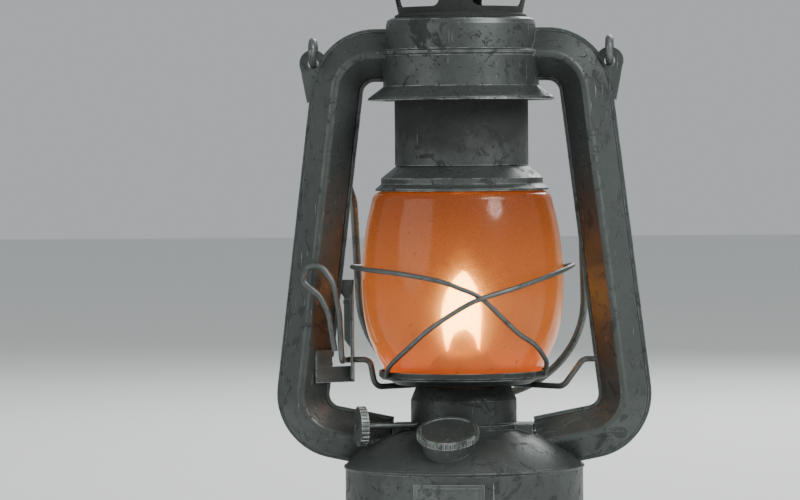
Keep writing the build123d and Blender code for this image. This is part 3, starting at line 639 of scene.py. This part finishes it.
def glass_material(finish_and_glow, painted_glow_centre):
    """Smoky amber glass with a painted glow: it emits light of its own, brightest near the flame and at its foot, in
    place of the flame's light that it would scatter.
    """
    made, tree, shader = new_material("Smoky Amber Glass")
    low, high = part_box("globe")
    place = place_on(tree)
    height = height_of(tree, place)
    smoke = noise(tree, place, 55.0, 6.0, 0.6, 0.5)
    fine = noise(tree, place, 480.0, 5.0, 0.7)
    specks = ramp(tree, noise(tree, place, 420.0, 4.0, 0.62, 0.5), 0.645, 0.685)
    away = tree.nodes.new("ShaderNodeVectorMath")
    away.operation = "DISTANCE"
    feed(tree, away.inputs[0], place)
    away.inputs[1].default_value = painted_glow_centre
    # Painted glow: brighter near the flame and towards the foot.
    near = minus(tree, 1.0, ramp(tree, away.outputs["Value"], 34 * MM, 72 * MM))
    foot = minus(tree, 1.0, ramp(tree, height, low.z + 2 * MM, low.z + 16 * MM))
    neck = ramp(tree, height, high.z - 44 * MM, high.z - 6 * MM)

    clean = mix_colour(tree, times(tree, specks, 0.8), finish_and_glow.glass, (0.10, 0.03, 0.01))
    smoked = plus(tree, times(tree, smoke, 0.35), times(tree, neck, 0.55), clamp=True)
    feed(tree, shader.inputs["Base Color"], mix_colour(tree, smoked, clean, (0.42, 0.13, 0.045)))

    # The painted glow, emitted by the glass itself; specks dim it.
    painted_glow = plus(tree, plus(tree, 0.07, times(tree, near, 0.26)), times(tree, foot, 0.30))
    painted_glow = times(tree, painted_glow, plus(tree, 0.70, times(tree, smoke, 0.55)))
    painted_glow = times(tree, painted_glow, minus(tree, 1.0, times(tree, specks, 0.6)))
    painted_glow_tint = mix_colour(tree, foot, finish_and_glow.painted_glow, (1.0, 0.20, 0.04))
    feed(tree, shader.inputs["Emission Color"], mix_colour(tree, painted_glow, BLACK, painted_glow_tint))
    feed(tree, shader.inputs["Emission Strength"], finish_and_glow.painted_glow_strength)

    haze = ramp(tree, noise(tree, place, 9000.0, 1.0), 0.50, 0.62)
    rough = plus(tree, plus(tree, 0.06, times(tree, haze, 0.42)), times(tree, specks, 0.3))
    feed(tree, shader.inputs["Roughness"], rough)
    feed(tree, shader.inputs["Transmission Weight"], 0.92)
    feed(tree, shader.inputs["IOR"], 1.33)
    bump(tree, shader, plus(tree, smoke, times(tree, fine, 0.1)), 0.25 * MM, 0.35)
    return made


class LANTERN_OT_globe(bpy.types.Operator):
    """Blows the globe: a pressed shoulder, a round belly and a ground foot"""

    bl_idname = "lantern.globe"
    bl_label = "Globe"

    def execute(self, context):
        sizes = context.scene.lantern_sizes
        low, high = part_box("globe")
        belly = high.x - GLOBE_MARGIN
        foot, top = low.z + GLOBE_MARGIN, high.z - GLOBE_MARGIN
        keys = [(belly - inside * MM, foot + rise * MM) for inside, rise in GLOBE_PROFILE]
        outside = smooth_line([*keys, (belly - GLOBE_MOUTH, top)], 7)
        inside = [(r - sizes.glass_wall, z) for r, z in reversed(outside)]
        glass = glass_material(context.scene.lantern_finish, (0.0, 0.0, foot + PAINTED_GLOW_HEIGHT))
        made = turned("amber_globe", outside + inside, glass, sizes.turns)
        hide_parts("globe")
        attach(made, "globe_carrier")
        return {"FINISHED"}


# The flame from its foot to its tip: shares of its full half width and of its height.
FLAME_PROFILE = (
    (0.82, 0.03), (0.88, 0.12), (0.95, 0.27), (1.0, 0.43), (0.95, 0.58), (0.83, 0.71), (0.63, 0.83),
    (0.38, 0.92), (0.17, 0.98), (0.03, 1.0),
)
FLAME_SIDES = 48
# Half width of the hollow under the flame, as a share of the flame's own.
ARCH_WIDTH = 0.74
WICK_TURN = Matrix.Rotation(math.radians(18), 4, "Z")


def cotton_material(cotton, wick_top):
    """Woven wick, charred at its top."""
    made, tree, shader = new_material("Charred Cotton")
    place = place_on(tree)
    weave = tree.nodes.new("ShaderNodeTexWave")
    for name, value in (("Scale", 420.0), ("Distortion", 1.5), ("Vector", place)):
        feed(tree, weave.inputs[name], value)
    char = ramp(tree, height_of(tree, place), wick_top - 6 * MM, wick_top - 1 * MM)
    woven = mix_colour(tree, weave.outputs["Fac"], tinted(cotton, 0.6), cotton)
    feed(tree, shader.inputs["Base Color"], mix_colour(tree, char, woven, (0.015, 0.012, 0.01)))
    feed(tree, shader.inputs["Roughness"], 0.9)
    bump(tree, shader, weave.outputs["Fac"], 0.2 * MM)
    return made


def fire_material(finish_and_glow, wick_top):
    """Flame that is palest in its middle."""
    made, tree, shader = new_material("Flame")
    rise = ramp(tree, height_of(tree, place_on(tree)), wick_top, wick_top + 7 * MM)
    facing = tree.nodes.new("ShaderNodeLayerWeight")
    feed(tree, facing.inputs["Blend"], 0.35)
    rim = ramp(tree, facing.outputs["Facing"], 0.35, 0.95)
    core = mix_colour(tree, rise, finish_and_glow.flame_edge, finish_and_glow.flame_core)
    feed(tree, shader.inputs["Emission Color"], mix_colour(tree, rim, core, finish_and_glow.flame_edge))
    feed(tree, shader.inputs["Emission Strength"], finish_and_glow.flame_strength)
    feed(tree, shader.inputs["Base Color"], (1.0, 0.7, 0.35))
    feed(tree, shader.inputs["Roughness"], 1.0)
    return made


def flame_object(sizes, wick_top, material):
    """A flat tongue of flame with a hollow foot, in line with the wick."""
    half = sizes.flame_width / 2
    profile = smooth_line(FLAME_PROFILE, 4)
    verts = []
    for wide, rise in profile:
        reach = half * wide
        depth = half * min(0.42, 0.15 + 0.5 * rise) * min(1.0, 1.6 * wide)
        sway = 0.08 * half * math.sin(3.6 * rise)
        for side in range(FLAME_SIDES):
            around = 2 * math.pi * side / FLAME_SIDES
            x, y = reach * math.cos(around), depth * math.sin(around)
            hollow = math.sqrt(max(0.0, 1 - (x / (ARCH_WIDTH * half)) ** 2)) * max(0.0, 1 - 2 * rise)
            verts.append((x - sway, y, wick_top + sizes.flame_height * rise + sizes.flame_arch * hollow))
    faces = tube_faces(len(profile), FLAME_SIDES)
    for side in range(FLAME_SIDES // 2):
        corners = (side, side + 1, FLAME_SIDES - side - 1, (FLAME_SIDES - side) % FLAME_SIDES)
        faces.append(tuple(dict.fromkeys(corners)))
    last = (len(profile) - 1) * FLAME_SIDES
    faces.append(tuple(range(last, last + FLAME_SIDES)))
    made = mesh_object("flame", verts, faces, material, 60.0)
    made.data.transform(WICK_TURN)
    return made


class LANTERN_OT_flame(bpy.types.Operator):
    """Lights the wick: a tall tongue with two low horns at the wick's corners"""

    bl_idname = "lantern.flame"
    bl_label = "Wick and flame"

    def execute(self, context):
        finish_and_glow = context.scene.lantern_finish
        wick_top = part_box("wick")[1].z
        dress(("wick",), cotton_material(finish_and_glow.cotton, wick_top))
        flame = flame_object(context.scene.lantern_sizes, wick_top, fire_material(finish_and_glow, wick_top))
        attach(flame, "wick")
        return {"FINISHED"}


# Half the floor's width, how far it lies under the lantern so that they don't share a face, where the lamps aim,
# and each lamp's diameter and place in metres.
FLOOR_HALF = 6
FLOOR_DROP = 0.4 * MM
LAMP_AIM = Vector((0, 0, 0.12))
LAMPS = {
    "key": (0.7, (0.85, -0.75, 0.95)),
    "fill": (1.1, (-1.1, -0.8, 0.5)),
    "rim": (0.8, (0.3, 1.1, 0.9)),
}


class LANTERN_OT_stage(bpy.types.Operator):
    """Sets the floor, the lights and the camera"""

    bl_idname = "lantern.stage"
    bl_label = "Stage"

    def lay_floor(self, stage):
        """A plain pale floor."""
        made, tree, shader = new_material("Pale Floor")
        tone = noise(tree, place_on(tree), 3.0, 3.0)
        feed(tree, shader.inputs["Base Color"], mix_colour(tree, tone, tinted(stage.floor, 0.97), stage.floor))
        feed(tree, shader.inputs["Roughness"], 0.85)
        corners = [(x * FLOOR_HALF, y * FLOOR_HALF, 0) for x, y in ((-1, -1), (1, -1), (1, 1), (-1, 1))]
        floor = mesh_object("floor", corners, [(0, 1, 2, 3)], made)
        floor.location.z = -FLOOR_DROP

    def light(self, stage):
        """Light from all round, and three round lamps."""
        world = bpy.data.worlds.new("Surround")
        bpy.context.scene.world = world
        world.use_nodes = True
        back = world.node_tree.nodes["Background"]
        feed(world.node_tree, back.inputs["Color"], stage.sky)
        feed(world.node_tree, back.inputs["Strength"], stage.sky_strength)
        for name, (size, place) in LAMPS.items():
            lamp = bpy.data.lights.new(name, "AREA")
            lamp.energy = getattr(stage, name)
            lamp.shape = "DISK"
            lamp.size = size
            light = bpy.data.objects.new(name, lamp)
            light.location = place
            light.rotation_euler = (LAMP_AIM - Vector(place)).to_track_quat("-Z", "Y").to_euler()
            bpy.context.collection.objects.link(light)

    def set_camera(self, stage):
        """A long lens a little above the globe's height."""
        eye = bpy.data.cameras.new("camera")
        eye.lens = stage.lens
        eye.sensor_width = 36.0
        eye.clip_start = 0.05
        camera = bpy.data.objects.new("camera", eye)
        camera.location = (
            stage.distance * math.sin(stage.azimuth), -stage.distance * math.cos(stage.azimuth), stage.eye_height
        )
        aim = (
            Matrix.Rotation(stage.azimuth + stage.yaw, 4, "Z")
            @ Matrix.Rotation(math.pi / 2 - stage.pitch, 4, "X")
            @ Matrix.Rotation(-stage.roll, 4, "Z")
        )
        camera.rotation_euler = aim.to_euler()
        bpy.context.collection.objects.link(camera)
        bpy.context.scene.camera = camera

    def execute(self, context):
        stage = context.scene.lantern_stage
        self.lay_floor(stage)
        self.light(stage)
        self.set_camera(stage)
        return {"FINISHED"}


STEPS = (
    LANTERN_OT_effects, LANTERN_OT_stage, LANTERN_OT_sheet_work, LANTERN_OT_chimney, LANTERN_OT_filler,
    LANTERN_OT_burner, LANTERN_OT_wires, LANTERN_OT_guards, LANTERN_OT_globe, LANTERN_OT_flame,
)


class LANTERN_PT_sidebar(bpy.types.Panel):
    """Lists the lantern's steps and settings"""

    bl_label = "Barn Lantern"
    bl_idname = "LANTERN_PT_sidebar"
    bl_space_type = "VIEW_3D"
    bl_region_type = "UI"
    bl_category = "Lantern"

    def draw(self, context):
        """Draws the buttons, then the settings."""
        for step in STEPS:
            self.layout.operator(step.bl_idname)
        for name in GROUPS:
            group = getattr(context.scene, name)
            box = self.layout.box()
            for setting in group.bl_rna.properties.keys():
                if setting not in {"rna_type", "name"}:
                    box.prop(group, setting)


CLASSES = (LanternFinishAndGlow, LanternSizes, LanternStage, *STEPS, LANTERN_PT_sidebar)
GROUPS = {"lantern_finish": LanternFinishAndGlow, "lantern_sizes": LanternSizes, "lantern_stage": LanternStage}


def register():
    """Registers the classes and their settings."""
    for entry in CLASSES:
        bpy.utils.register_class(entry)
    for name, group in GROUPS.items():
        setattr(bpy.types.Scene, name, PointerProperty(type=group))


def unregister():
    """Removes them again."""
    for name in GROUPS:
        delattr(bpy.types.Scene, name)
    for entry in reversed(CLASSES):
        bpy.utils.unregister_class(entry)


def main():
    """Builds everything."""
    register()
    for step in STEPS:
        family, action = step.bl_idname.split(".")
        getattr(getattr(bpy.ops, family), action)()


if __name__ == "__main__":
    main()
